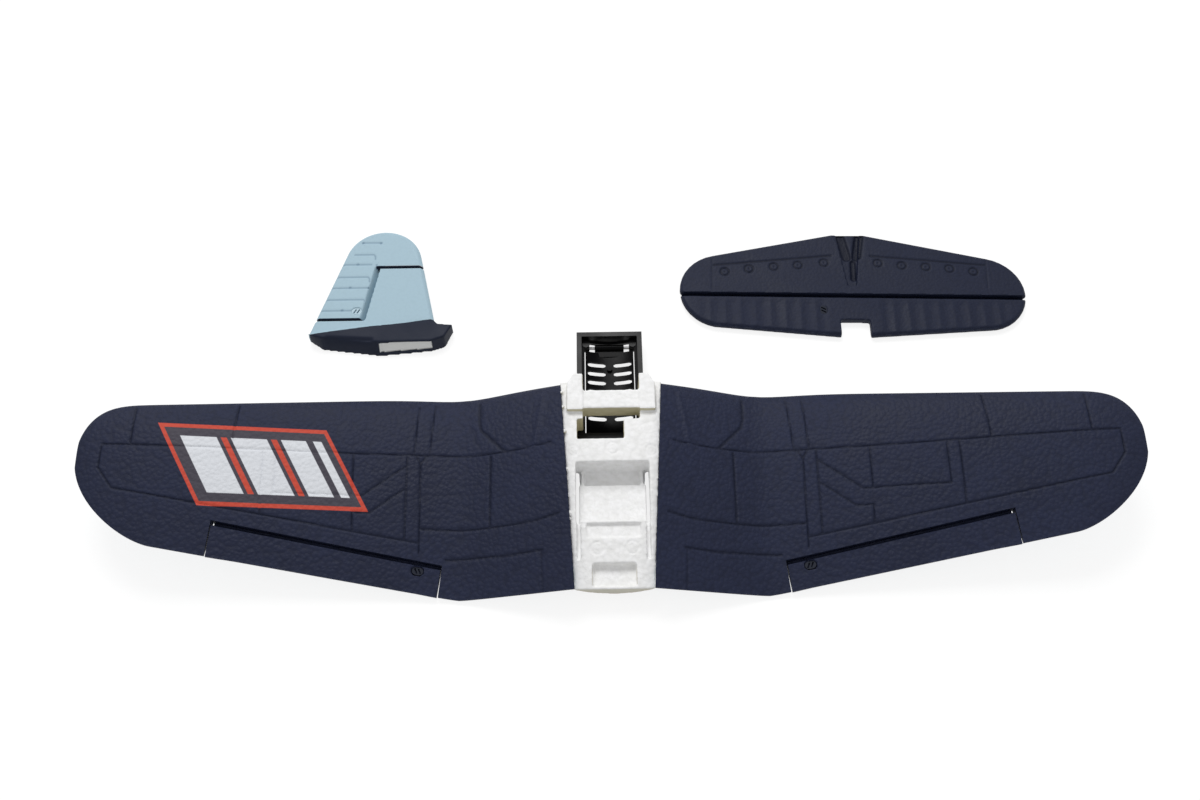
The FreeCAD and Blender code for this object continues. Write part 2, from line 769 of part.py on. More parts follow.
def make_fin_and_rudder():
    """Fin with its fairing, rudder, hinge film and the rudder's horn socket."""
    blade = fin_blade()
    low = fin_mid_z - fin_thickness / 2
    axis_z = low + hinge_axis_lift
    lower = Vector(rudder_hinge_x(rudder_gap_y - 10), rudder_gap_y - 10, axis_z)
    upper = Vector(rudder_hinge_x(balance_gap_y + 30), balance_gap_y + 30, axis_z)
    run = upper - lower
    lean = math.tan(math.radians(hinge_bevel_deg)) * 10

    def along(profile):
        corners = [Vector(lower.x + a, lower.y, lower.z + b) for a, b in profile]
        return Part.Face(Part.makePolygon(corners + corners[:1])).extrude(run)

    behind = along([(hinge_gap, -5), (hinge_gap, 10), (-60, 10), (-60, -5)])
    moving = along([(-hinge_gap, -5), (-hinge_gap, 0), (-hinge_gap - lean, 10), (-60, 10), (-60, -5)])
    main_area = box(-160, -60, rudder_gap_y, balance_gap_y + 0.01, -5, 20)
    balance_area = box(-160, -60, balance_gap_y, 160, -5, 20)
    rudder = blade.common(moving.common(main_area)).fuse(blade.common(balance_area)).removeSplitter()
    cut_main = behind.common(box(-160, -60, rudder_gap_y - balance_gap, balance_gap_y + 0.01, -5, 20))
    cut_top = box(-160, -60, balance_gap_y - balance_gap, 160, -5, 20)
    fin = blade.cut(cut_main).cut(cut_top).fuse(fin_base()).removeSplitter()

    start = Vector(rudder_hinge_x(rudder_gap_y + 1), rudder_gap_y + 1, axis_z)
    stop = Vector(rudder_hinge_x(balance_gap_y - 2), balance_gap_y - 2, axis_z)
    half = hinge_film_thickness / 2
    corners = [Vector(start.x + a, start.y, start.z + b)
               for a, b in ((0, -half), (0, half), (hinge_film_width, half), (hinge_film_width, -half))]
    film = Part.Face(Part.makePolygon(corners + corners[:1])).extrude(stop - start)
    fin = fin.cut(film)
    place = Vector(rudder_socket_x, rudder_socket_y, fin_mid_z + fin_thickness / 2 - socket_sink)
    socket, seat = make_socket(0, place)
    rudder = rudder.cut(seat)
    return fin, rudder, film, socket


right_panel, right_aileron, right_film, right_socket = make_right_panel_and_aileron()
save("right_wing_panel", right_panel)
save("right_aileron", right_aileron)
save("right_aileron_hinge_film", right_film)
save("right_aileron_horn_socket", right_socket)
save("left_wing_panel", mirrored(right_panel))
save("left_aileron", mirrored(right_aileron))
save("left_aileron_hinge_film", mirrored(right_film))
save("left_aileron_horn_socket", mirrored(right_socket))
save("wing_centre_block", make_centre_block())
save("wing_joiner", make_joiner())
save("battery_bay_frame", make_frame())
save("battery_door", make_door())
save("door_hinge_pin", make_pin())
tailplane, elevator, elevator_film, elevator_socket = make_tailplane_and_elevator()
save("tailplane", tailplane)
save("elevator", elevator)
save("elevator_hinge_film", elevator_film)
save("elevator_horn_socket", elevator_socket)
fin, rudder, rudder_film, rudder_socket = make_fin_and_rudder()
save("fin", fin)
save("rudder", rudder)
save("rudder_hinge_film", rudder_film)
save("rudder_horn_socket", rudder_socket)

print("aileron hinge from", hinge_point(aileron_inner_x), "to", hinge_point(aileron_outer_x))
print("lowest skin", min(skin_height(x, y, False) for x in range(40, 80) for y in range(-45, 33)))
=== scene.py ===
import math
import bmesh
import bpy
from mathutils import Matrix, Vector, noise
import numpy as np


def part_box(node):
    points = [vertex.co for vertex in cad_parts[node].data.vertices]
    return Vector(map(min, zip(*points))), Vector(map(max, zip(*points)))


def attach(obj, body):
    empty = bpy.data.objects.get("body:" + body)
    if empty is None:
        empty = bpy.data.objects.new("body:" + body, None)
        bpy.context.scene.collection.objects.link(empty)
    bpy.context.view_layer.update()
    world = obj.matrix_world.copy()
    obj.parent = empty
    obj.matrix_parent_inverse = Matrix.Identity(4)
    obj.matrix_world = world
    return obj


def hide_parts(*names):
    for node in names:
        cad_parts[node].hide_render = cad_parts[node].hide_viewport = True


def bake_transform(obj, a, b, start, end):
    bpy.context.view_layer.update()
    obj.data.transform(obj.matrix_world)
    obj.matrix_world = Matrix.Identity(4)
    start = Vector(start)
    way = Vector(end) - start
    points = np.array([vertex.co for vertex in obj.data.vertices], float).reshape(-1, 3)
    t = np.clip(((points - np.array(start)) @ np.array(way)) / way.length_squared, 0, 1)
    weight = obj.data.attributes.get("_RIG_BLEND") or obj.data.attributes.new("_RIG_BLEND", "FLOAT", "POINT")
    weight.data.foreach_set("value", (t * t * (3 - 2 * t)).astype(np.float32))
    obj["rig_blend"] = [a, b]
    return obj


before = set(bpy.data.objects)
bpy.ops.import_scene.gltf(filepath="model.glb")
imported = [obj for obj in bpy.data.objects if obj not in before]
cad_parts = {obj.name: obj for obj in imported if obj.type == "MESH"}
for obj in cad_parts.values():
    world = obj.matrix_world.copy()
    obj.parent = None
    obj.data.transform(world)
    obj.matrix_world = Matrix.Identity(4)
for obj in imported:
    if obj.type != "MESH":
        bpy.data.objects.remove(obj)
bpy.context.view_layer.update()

# Sizes in millimetres, measured as in the part's source, before the move to the set's middle
MM = 0.001
MIDDLE_Y = (-47.2 + 119.4) / 2
HALF_SPAN = 200.7
CRANK_X = 58.0
REAR_TIP_X = 170.0
TIP_END_X = REAR_TIP_X + (HALF_SPAN - REAR_TIP_X) * math.sin(math.radians(78.75))
SEAM_FRONT_X = 19.8
SEAM_REAR_X = 14.7
BAY_INNER_X = 64.5
BAY_OUTER_X = 149.0
AILERON_INNER_X = 65.0
AILERON_OUTER_X = 148.5
SOCKET_X = 73.5
SOCKET_BACK = 3.4
END_SLANT = 1.4 / 12.5
HINGE_GAP = 0.3
BEVEL = math.tan(math.radians(26.0))
TAIL_CENTRE = (104.0, 85.5)
TAIL_TURN = math.radians(-1.8)
ELEVATOR_HINGE_Y = -1.2


def put(x, y, z):
    """A point of the set, from millimetres to the frame's metres."""
    return Vector((x * MM, (y - MIDDLE_Y) * MM, z * MM))


def tip_share(x, start, power):
    """How much of the chord is left at a station, from 1 down to 0 at the tip."""
    reach = max(0.0, (x - start) / (HALF_SPAN - start))
    return math.sqrt(max(0.0, 1 - reach ** power))


def front_edge(x):
    """Plan position of the wing's leading edge."""
    dip = 1.3 * math.exp(-((x - CRANK_X) / 20.0) ** 2)
    line = 36.0 - 0.086 * max(0.0, x - CRANK_X) - dip
    return 4.0 + (line - 4.0) * tip_share(x, 174.0, 4.1)


def rear_edge(x):
    """Plan position of the wing's trailing edge."""
    line = -47.2 + 0.149 * max(0.0, x - CRANK_X)
    return 4.0 + (line - 4.0) * tip_share(x, REAR_TIP_X, 1.7)


def gull_height(x):
    """Height of the chord line above its lowest point."""
    inner = 11.4 * (CRANK_X - x) / (CRANK_X - 18.0)
    outer = (x - CRANK_X) * math.tan(math.radians(9.2))
    return (inner + outer) / 2 + math.hypot((inner - outer) / 2, 1.0)


def skin(x, y, upper):
    """Height of the wing's upper or lower skin."""
    front = front_edge(x)
    chord = front - rear_edge(x)
    u = min(1.0, max(0.0, (front - y) / chord))
    middle = 2.22 + gull_height(x) + (0.5 - u) * 0.045 * chord
    curve = 0.2969 * math.sqrt(u) - 0.126 * u - 0.3516 * u ** 2 + 0.2843 * u ** 3 - 0.1036 * u ** 4
    swell = 0.11 * chord * 5 * max(0.0, curve)
    edge = 0.4 * min(1.0, chord / 40) * u
    return middle + 1.25 * swell + edge if upper else middle - 0.75 * swell - edge


def hinge_y(x):
    """Plan position of the aileron's hinge line."""
    return -34.6 + (x - AILERON_INNER_X) * 0.167


def seam_x(y):
    """Plan position of the seam between the centre block and a panel."""
    return SEAM_FRONT_X + (SEAM_REAR_X - SEAM_FRONT_X) * (36.0 - y) / 82.6


# Engraved lines of the wing's upper skin: points, then width and depth
WING_LINES = [
    ([(23.4, 9.6), (39.3, 8.0), (55.2, 8.0), (70.7, 8.3), (103.0, 7.8), (190.9, 7.6)], 0.42, 0.42),
    ([(190.9, 7.6), (191.3, -1.5), (185.4, -9.4), (149.9, -14.8), (131.7, -17.4), (107.4, -21.2), (73.6, -26.1)],
     0.42, 0.42),
    ([(69.4, 30.8), (70.6, 8.1)], 0.4, 0.36),
    ([(75.6, 30.1), (76.4, 8.3)], 0.4, 0.36),
    ([(70.6, 8.1), (72.0, 7.9), (73.8, 4.5), (75.4, 7.8), (76.6, 8.2)], 0.4, 0.42),
    ([(73.8, 4.5), (73.3, -30.0)], 0.42, 0.42),
    ([(78.9, 7.2), (78.8, -25.5)], 0.42, 0.42),
    ([(26.7, 30.5), (28.6, 18.0), (29.9, 8.8)], 0.8, -0.42),
    ([(51.9, 30.9), (51.7, 22.5), (50.8, 18.4), (49.0, 16.4), (41.3, 8.3)], 0.7, 0.42),
    ([(46.7, 6.8), (46.6, -21.3)], 0.5, 0.42),
    ([(20.4, -18.8), (29.9, -20.7), (46.2, -21.4), (59.8, -21.2), (73.3, -20.9)], 0.5, 0.42),
    ([(26.6, -31.7), (39.1, -32.5), (51.8, -32.2), (63.2, -32.4)], 0.55, 0.42),
    ([(27.0, -32.4), (26.4, -46.9)], 0.5, 0.25),
    ([(79.6, 3.3), (82.6, 1.0), (95.4, -9.0), (108.6, -8.8), (127.4, -9.1)], 0.42, 0.42),
    ([(79.6, -5.6), (92.2, -15.4), (98.1, -15.4)], 0.42, 0.42),
    ([(99.2, 7.2), (98.8, -8.8)], 0.42, 0.42),
    ([(98.5, -15.3), (98.1, -22.6)], 0.42, 0.42),
    ([(127.8, 6.8), (127.6, -9.3)], 0.42, 0.42),
    ([(132.4, 6.9), (132.0, -17.2)], 0.42, 0.42),
    ([(143.8, 26.4), (144.4, 7.7)], 0.42, 0.42),
    ([(181.2, 23.2), (180.7, 7.9)], 0.42, 0.42),
]


def runs_of(lines):
    """Split engraved lines into straight runs with their reach."""
    runs = []
    for points, width, depth in lines:
        for (ax, ay), (bx, by) in zip(points, points[1:]):
            reach = 2.2 * width
            runs.append((min(ax, bx) - reach, max(ax, bx) + reach, min(ay, by) - reach, max(ay, by) + reach,
                         ax, ay, bx - ax, by - ay, (bx - ax) ** 2 + (by - ay) ** 2, width, depth))
    return runs


def engraved(x, y, runs):
    """How deep the engraved lines are at a plan position."""
    deepest = 0.0
    raised = 0.0
    for x0, x1, y0, y1, ax, ay, dx, dy, squared, width, depth in runs:
        if x0 < x < x1 and y0 < y < y1:
            share = min(1.0, max(0.0, ((x - ax) * dx + (y - ay) * dy) / squared))
            away = math.hypot(x - ax - share * dx, y - ay - share * dy) / width
            amount = depth * math.exp(-away * away)
            deepest = max(deepest, amount)
            raised = min(raised, amount)
    return deepest + raised


WING_RUNS = runs_of(WING_LINES)


# Materials

def add(tree, kind, settings=None, **inputs):
    """Add a node with its settings, and set or link its inputs by name or number."""
    made = tree.nodes.new(kind)
    for key, value in (settings or {}).items():
        setattr(made, key, value)
    for key, value in inputs.items():
        numbered = key[0] == "i" and key[1:].isdigit()
        socket = made.inputs[int(key[1:])] if numbered else made.inputs[key.replace("_", " ")]
        if isinstance(value, bpy.types.NodeSocket):
            tree.links.new(value, socket)
        else:
            socket.default_value = value
    return made


def maths(tree, operation, first, second=0.0, third=0.0):
    """One Math node's result."""
    return add(tree, "ShaderNodeMath", {"operation": operation}, i0=first, i1=second, i2=third).outputs[0]


def paint(tree, share, first, second):
    """Mix two colours."""
    made = tree.nodes.new("ShaderNodeMix")
    made.data_type = "RGBA"
    for number, value in ((0, share), (6, first), (7, second)):
        if isinstance(value, bpy.types.NodeSocket):
            tree.links.new(value, made.inputs[number])
        else:
            made.inputs[number].default_value = value
    return made.outputs[2]


def ramp(tree, value, low, high, out_low=0.0, out_high=1.0):
    """Spread a value over a range."""
    return add(tree, "ShaderNodeMapRange", None, Value=value, From_Min=low, From_Max=high,
               To_Min=out_low, To_Max=out_high).outputs[0]


def start_material(name):
    """A material with its shader and the place in the object."""
    material = bpy.data.materials.new(name)
    material.use_nodes = True
    tree = material.node_tree
    place = tree.nodes.new("ShaderNodeTexCoord").outputs["Object"]
    return material, tree, tree.nodes["Principled BSDF"], place


def pebbles(tree, place, cell, height, fine=0.35):
    """Bump of moulded foam: rounded beads pressed flat, with a fine tooth over them."""
    warp = add(tree, "ShaderNodeTexNoise", None, Vector=place, Scale=180.0, Detail=1.0)
    bent = add(tree, "ShaderNodeVectorMath", {"operation": "MULTIPLY_ADD"}, i0=warp.outputs["Color"],
               i1=(0.0012, 0.0012, 0.0012), i2=place).outputs[0]
    beads = add(tree, "ShaderNodeTexVoronoi", {"feature": "SMOOTH_F1"}, Vector=bent, Scale=1000.0 / cell,
                Smoothness=0.35)
    tooth = add(tree, "ShaderNodeTexNoise", None, Vector=place, Scale=2600.0 / cell, Detail=2.0, Roughness=0.6)
    rise = maths(tree, "MULTIPLY_ADD", beads.outputs["Distance"], -1.0,
                 maths(tree, "MULTIPLY", tooth.outputs["Fac"], fine))
    bump = add(tree, "ShaderNodeBump", None, Height=rise, Distance=height * MM, Strength=1.0)
    return bump.outputs[0], beads.outputs["Distance"]


def painted_foam(name, colour, dark, cell=1.7, height=0.16, under=None, bead_shade=0.35, groove=0.75):
    """Painted bead foam with painted shade in the gaps between its beads and painted shade in its grooves, with the
    underside in another colour if asked.
    """
    material, tree, shader, place = start_material(name)
    bump, beads = pebbles(tree, place, cell, height)
    patches = add(tree, "ShaderNodeTexNoise", None, Vector=place, Scale=38.0, Detail=4.0, Roughness=0.6)
    share = ramp(tree, patches.outputs["Fac"], 0.35, 0.65)
    base = paint(tree, share, (*dark, 1), (*colour, 1))
    # Painted shade: the gaps between the beads are painted darker, as the shade that falls in them.
    bead_pit_shade = ramp(tree, beads, 0.45, 0.75, 0.0, bead_shade)
    base = paint(tree, bead_pit_shade, base, (*[c * 0.6 for c in colour], 1))
    # Painted shade: engraved lines, slots, ring marks and rib lines are painted darker by the depth kept in the groove
    # attribute, as the shade that falls in them.
    deep = add(tree, "ShaderNodeAttribute", {"attribute_name": "groove"}).outputs["Fac"]
    groove_shade_colour = (colour[0] * 0.26, colour[1] * 0.32, colour[2] * 0.42, 1)
    base = paint(tree, ramp(tree, deep, 0.06, 0.32, 0.0, groove), base, groove_shade_colour)
    if under:
        way = tree.nodes.new("ShaderNodeNewGeometry").outputs["Normal"]
        down = ramp(tree, add(tree, "ShaderNodeSeparateXYZ", None, Vector=way).outputs[2], -0.25, -0.4)
        base = paint(tree, down, base, (*under, 1))
    tree.links.new(base, shader.inputs["Base Color"])
    tree.links.new(ramp(tree, patches.outputs["Fac"], 0.3, 0.7, 0.52, 0.66), shader.inputs["Roughness"])
    tree.links.new(bump, shader.inputs["Normal"])
    shader.inputs["Specular IOR Level"].default_value = 0.2
    return material


def decal_mask(tree, place, centre_x, centre_y):
    """Slanted plain stripes on a dark field with a red edge: masks for field, edge and stripes."""
    axes = add(tree, "ShaderNodeSeparateXYZ", None, Vector=place)
    across = maths(tree, "SUBTRACT", axes.outputs[0], centre_x * MM)
    along = maths(tree, "SUBTRACT", axes.outputs[1], (centre_y - MIDDLE_Y) * MM)
    slanted = maths(tree, "MULTIPLY_ADD", along, 0.55, across)

    def inside(value, middle, half):
        off = maths(tree, "ABSOLUTE", maths(tree, "SUBTRACT", value, middle * MM))
        return ramp(tree, off, (half + 0.12) * MM, (half - 0.12) * MM)

    def area(middle, half, tall):
        return maths(tree, "MULTIPLY", inside(slanted, middle, half), inside(along, 0.0, tall))

    edge = area(0.0, 31.0, 16.0)
    field = area(0.0, 29.4, 14.4)
    bands = area(-18.4, 6.6, 11.0)
    for middle, half in ((0.0, 6.6), (16.4, 4.6), (25.2, 1.6)):
        bands = maths(tree, "MAXIMUM", bands, area(middle, half, 11.0))
    red = area(-9.2, 1.1, 11.0)
    red = maths(tree, "MAXIMUM", red, area(9.2, 1.1, 11.0))
    return edge, field, bands, red


def wing_paint():
    """The wing's dark blue paint, with the generic stripes on the left panel."""
    material = painted_foam("dark_blue_wing_paint", (0.0160, 0.0210, 0.050), (0.0120, 0.0158, 0.0385),
                            1.6, 0.27, (0.36, 0.50, 0.56), 0.5, 0.85)
    tree = material.node_tree
    shader = tree.nodes["Principled BSDF"]
    place = tree.nodes["Texture Coordinate"].outputs["Object"]
    base = shader.inputs["Base Color"].links[0].from_socket
    edge, field, bands, red = decal_mask(tree, place, -132.3, 1.0)
    way = tree.nodes.new("ShaderNodeNewGeometry").outputs["Normal"]
    up = ramp(tree, add(tree, "ShaderNodeSeparateXYZ", None, Vector=way).outputs[2], 0.1, 0.2)
    for share, colour in ((edge, (0.55, 0.070, 0.042)), (field, (0.060, 0.055, 0.072)),
                          (bands, (0.68, 0.70, 0.74)), (red, (0.55, 0.070, 0.042))):
        base = paint(tree, maths(tree, "MULTIPLY", share, up), base, (*colour, 1))
    tree.links.new(base, shader.inputs["Base Color"])
    return material


def fin_paint():
    """Light blue fin with a dark blue foot, painted shade in dark blue on the faces beside the rudder's gaps, and a
    pale glue patch on its open side.
    """
    material = painted_foam("light_blue_fin_paint", (0.372, 0.512, 0.595), (0.36, 0.50, 0.582),
                            1.3, 0.03, None, 0.06, 0.6)
    tree = material.node_tree
    shader = tree.nodes["Principled BSDF"]
    place = tree.nodes["Texture Coordinate"].outputs["Object"]
    base = shader.inputs["Base Color"].links[0].from_socket
    axes = add(tree, "ShaderNodeSeparateXYZ", None, Vector=place)
    line = maths(tree, "MULTIPLY_ADD", axes.outputs[0], -0.144, axes.outputs[1])
    level = (66.9 - MIDDLE_Y + 0.144 * 124.5) * MM
    wave = add(tree, "ShaderNodeTexNoise", None, Vector=place, Scale=160.0, Detail=2.0)
    line = maths(tree, "MULTIPLY_ADD", wave.outputs["Fac"], 0.0006, line)
    share = ramp(tree, line, level + 0.0001, level - 0.0002)
    base = paint(tree, share, base, (0.0098, 0.0140, 0.0300, 1))
    way = tree.nodes.new("ShaderNodeNewGeometry").outputs["Normal"]
    open_side = ramp(tree, add(tree, "ShaderNodeSeparateXYZ", None, Vector=way).outputs[1], -0.2, -0.35)
    for value, low, high in ((axes.outputs[0], -95.2 * MM, -94.8 * MM), (axes.outputs[0], -73.2 * MM, -73.6 * MM),
                             (axes.outputs[2], 1.7 * MM, 2.0 * MM), (axes.outputs[2], 5.7 * MM, 5.4 * MM)):
        open_side = maths(tree, "MULTIPLY", open_side, ramp(tree, value, low, high))
    base = paint(tree, open_side, base, (0.80, 0.80, 0.79, 1))
    # Painted shade: faces with a groove value above 1.2 are painted dark blue, as the shade in the rudder's gaps.
    gap_shade = add(tree, "ShaderNodeAttribute", {"attribute_name": "groove"}).outputs["Fac"]
    base = paint(tree, ramp(tree, gap_shade, 1.2, 1.6), base, (0.0098, 0.0140, 0.0300, 1))
    tree.links.new(base, shader.inputs["Base Color"])
    return material


def bare_foam():
    """White bead foam with painted shade between its beads, darker yellowish upright walls at the notch and the rear,
    and a reddish lower rear edge.
    """
    material, tree, shader, place = start_material("bare_white_foam")
    bump, beads = pebbles(tree, place, 2.0, 0.22, 0.5)
    speckle = add(tree, "ShaderNodeTexNoise", None, Vector=place, Scale=420.0, Detail=3.0)
    speckled = ramp(tree, speckle.outputs["Fac"], 0.35, 0.65)
    base = paint(tree, speckled, (0.86, 0.86, 0.855, 1), (0.92, 0.92, 0.925, 1))
    # Painted shade: the gaps between the beads are painted darker, as the shade that falls in them.
    base = paint(tree, ramp(tree, beads, 0.5, 0.8, 0.0, 0.25), base, (0.72, 0.72, 0.71, 1))
    axes = add(tree, "ShaderNodeSeparateXYZ", None, Vector=place)
    way = tree.nodes.new("ShaderNodeNewGeometry").outputs["Normal"]
    steep = maths(tree, "ABSOLUTE", add(tree, "ShaderNodeSeparateXYZ", None, Vector=way).outputs[2])
    # Upright walls at the notch, and less so at the rear, get a darker yellowish tint.
    upright = ramp(tree, steep, 0.6, 0.2)
    notch = ramp(tree, axes.outputs[1], (8.0 - MIDDLE_Y) * MM, (10.0 - MIDDLE_Y) * MM)
    rear = ramp(tree, axes.outputs[1], (-38.0 - MIDDLE_Y) * MM, (-40.0 - MIDDLE_Y) * MM, 0.0, 0.6)
    share = maths(tree, "MULTIPLY", maths(tree, "MAXIMUM", notch, rear), upright)
    base = paint(tree, share, base, (0.60, 0.56, 0.40, 1))
    below = ramp(tree, add(tree, "ShaderNodeSeparateXYZ", None, Vector=way).outputs[2], -0.12, -0.4)
    at_rear = ramp(tree, axes.outputs[1], (-45.4 - MIDDLE_Y) * MM, (-45.8 - MIDDLE_Y) * MM)
    base = paint(tree, maths(tree, "MULTIPLY", below, at_rear), base, (0.55, 0.16, 0.12, 1))
    tree.links.new(base, shader.inputs["Base Color"])
    tree.links.new(bump, shader.inputs["Normal"])
    shader.inputs["Roughness"].default_value = 0.75
    shader.inputs["Specular IOR Level"].default_value = 0.2
    return material


def moulded_plastic(name, colour, roughness, grain=0.02, gloss=0.15):
    """Moulded plastic with a fine spark grain and faint flow marks."""
    material, tree, shader, place = start_material(name)
    grains = add(tree, "ShaderNodeTexNoise", None, Vector=place, Scale=3200.0, Detail=2.0)
    flow = add(tree, "ShaderNodeTexNoise", None, Vector=place, Scale=90.0, Detail=3.0)
    bump = add(tree, "ShaderNodeBump", None, Height=grains.outputs["Fac"], Distance=grain * MM, Strength=1.0)
    base = paint(tree, flow.outputs["Fac"], (*[c * 0.8 for c in colour], 1), (*[c * 1.2 for c in colour], 1))
    tree.links.new(base, shader.inputs["Base Color"])
    rough = ramp(tree, flow.outputs["Fac"], 0.3, 0.7, roughness - 0.05, roughness + 0.08)
    tree.links.new(rough, shader.inputs["Roughness"])
    tree.links.new(bump.outputs[0], shader.inputs["Normal"])
    shader.inputs["Specular IOR Level"].default_value = gloss
    return material


def drawn_steel():
    """Drawn steel wire of the hinge pin."""
    material = moulded_plastic("drawn_steel", (0.45, 0.45, 0.46), 0.3, 0.01)
    material.node_tree.nodes["Principled BSDF"].inputs["Metallic"].default_value = 1.0
    return material


WING_PAINT = wing_paint()
TAIL_PAINT = painted_foam("dark_blue_tail_paint", (0.0118, 0.0160, 0.0380), (0.0102, 0.0140, 0.0335),
                          1.3, 0.09, None, 0.35, 0.92)
FIN_PAINT = fin_paint()
BARE_FOAM = bare_foam()
BLACK_PLASTIC = moulded_plastic("black_moulded_plastic", (0.0030, 0.0030, 0.0034), 0.34, 0.02, 0.20)
DOOR_PLASTIC = moulded_plastic("black_door_plastic", (0.0016, 0.0016, 0.0020), 0.30, 0.02, 0.06)
DARK_SOCKET = moulded_plastic("dark_socket_plastic", (0.012, 0.015, 0.026), 0.5)
PALE_SOCKET = moulded_plastic("pale_socket_plastic", (0.46, 0.60, 0.68), 0.5)
ROD_PLASTIC = moulded_plastic("black_rod", (0.012, 0.012, 0.012), 0.45)
STEEL = drawn_steel()


# Pieces

def finish_piece(name, bm, body, material, replaced=(), sharp_deg=35.0):
    """Turn a bmesh into a finished piece that rides on its body."""
    mesh = bpy.data.meshes.new(name)
    bm.to_mesh(mesh)
    bm.free()
    mesh.materials.append(material)
    mesh.shade_smooth()
    mesh.set_sharp_from_angle(angle=math.radians(sharp_deg))
    piece = bpy.data.objects.new(name, mesh)
    bpy.context.scene.collection.objects.link(piece)
    if body:
        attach(piece, body)
    if replaced:
        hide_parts(*replaced)
    return piece


def steps(start, end, size):
    """Evenly spaced values from a start up to, but without, an end."""
    count = max(1, round((end - start) / size))
    return [start + (end - start) * i / count for i in range(count)]


def numbered_grid(columns, rows):
    """A bmesh grid whose vertices are known by column and row."""
    bm = bmesh.new()
    bm.verts.layers.float.new("groove")
    bmesh.ops.create_grid(bm, x_segments=columns - 1, y_segments=rows - 1, size=1.0)
    bm.verts.ensure_lookup_table()
    table = {}
    for vert in bm.verts:
        column = round((vert.co.x + 1) / 2 * (columns - 1))
        row = round((vert.co.y + 1) / 2 * (rows - 1))
        table[column, row] = vert
    return bm, table


def nose_shares(count):
    """Chord shares that are close together at the nose and even behind it."""
    bend = 0.12
    scale = 1 / (1 - bend / 2)
    values = []
    for i in range(count + 1):
        t = i / count
        values.append(scale * (t * t / (2 * bend) if t < bend else t - bend / 2))
    return values


def hinge_share(x):
    """Share of the chord at which the hinge line, or its continuation, lies."""
    at = min(BAY_OUTER_X, max(BAY_INNER_X, x))
    front = front_edge(at)
    return (front - hinge_y(at) - HINGE_GAP) / (front - rear_edge(at))


def slanted_x(x, y):
    """Station of a grid point, slanted beside the aileron's ends and at the root seam."""
    root = seam_x(y) - SEAM_REAR_X
    shifted = x + root * max(0.0, 1 - (x - SEAM_REAR_X) / 24.0)
    behind = max(0.0, hinge_y(x) - y)
    for end in (BAY_INNER_X, BAY_OUTER_X):
        shifted += END_SLANT * behind * max(0.0, 1 - abs(x - end) / 9.0)
    return shifted


def close_ends(bm):
    """Close every open loop with a flat end."""
    edges = [edge for edge in bm.edges if edge.is_boundary]
    bmesh.ops.holes_fill(bm, edges=edges, sides=0)
    bmesh.ops.recalc_face_normals(bm, faces=bm.faces)


def wing_panel_shape():
    """Right panel with engraved lines and an open bay for the aileron."""
    columns = steps(SEAM_REAR_X, BAY_INNER_X, 0.52)
    bay_start = len(columns)
    columns += steps(BAY_INNER_X, BAY_OUTER_X, 0.52)
    bay_end = len(columns)
    columns += steps(BAY_OUTER_X, 188.0, 0.55)
    columns += [188.0 + (TIP_END_X - 188.0) * math.sin(math.pi / 2 * i / 30) for i in range(31)]
    nose = nose_shares(130)
    upper_rows = [("up", 1, i / 24) for i in range(24)] + [("up", 0, nose[130 - i]) for i in range(131)]
    lower = nose_shares(34)
    lower_rows = [("down", 0, lower[i]) for i in range(1, 35)] + [("down", 1, 1 - i / 8) for i in range(1, 9)]
    rows = upper_rows + lower_rows + [("up", 1, 0.0)]
    hinge_up = 24
    hinge_down = len(upper_rows) + 33
    bm, table = numbered_grid(len(columns), len(rows))
    groove = bm.verts.layers.float["groove"]
    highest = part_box("right_wing_panel")[1].z / MM
    for (column, row), vert in table.items():
        x = columns[column]
        side, zone, share = rows[row]
        front = front_edge(x)
        chord = front - rear_edge(x)
        hinge = hinge_share(x)
        u = hinge * share if zone == 0 else 1 - (1 - hinge) * share
        y = front - u * chord
        x = min(TIP_END_X, slanted_x(x, y))
        front = front_edge(x)
        y = front - u * (front - rear_edge(x))
        z = skin(x, y, side == "up")
        if side == "up":
            # The groove depth also sets the painted shade of the engraved lines.
            vert[groove] = engraved(x, y, WING_RUNS) * min(1.0, u * 40)
            z -= vert[groove]
        vert.co = put(x, y, min(highest, z))
    bay_faces = []
    for column in range(bay_start, bay_end):
        for row in list(range(0, hinge_up)) + list(range(hinge_down, len(rows) - 1)):
            corners = [table[column, row], table[column + 1, row], table[column + 1, row + 1]]
            for face in corners[0].link_faces:
                if corners[1] in face.verts and corners[2] in face.verts:
                    bay_faces.append(face)
    top_edge = [bm.edges.get((table[c, hinge_up], table[c + 1, hinge_up])) for c in range(bay_start, bay_end)]
    low_edge = [bm.edges.get((table[c, hinge_down], table[c + 1, hinge_down])) for c in range(bay_start, bay_end)]
    bmesh.ops.delete(bm, geom=bay_faces, context="FACES")
    bmesh.ops.bridge_loops(bm, edges=top_edge + low_edge)
    bmesh.ops.remove_doubles(bm, verts=bm.verts, dist=1e-7)
    close_ends(bm)
    return bm


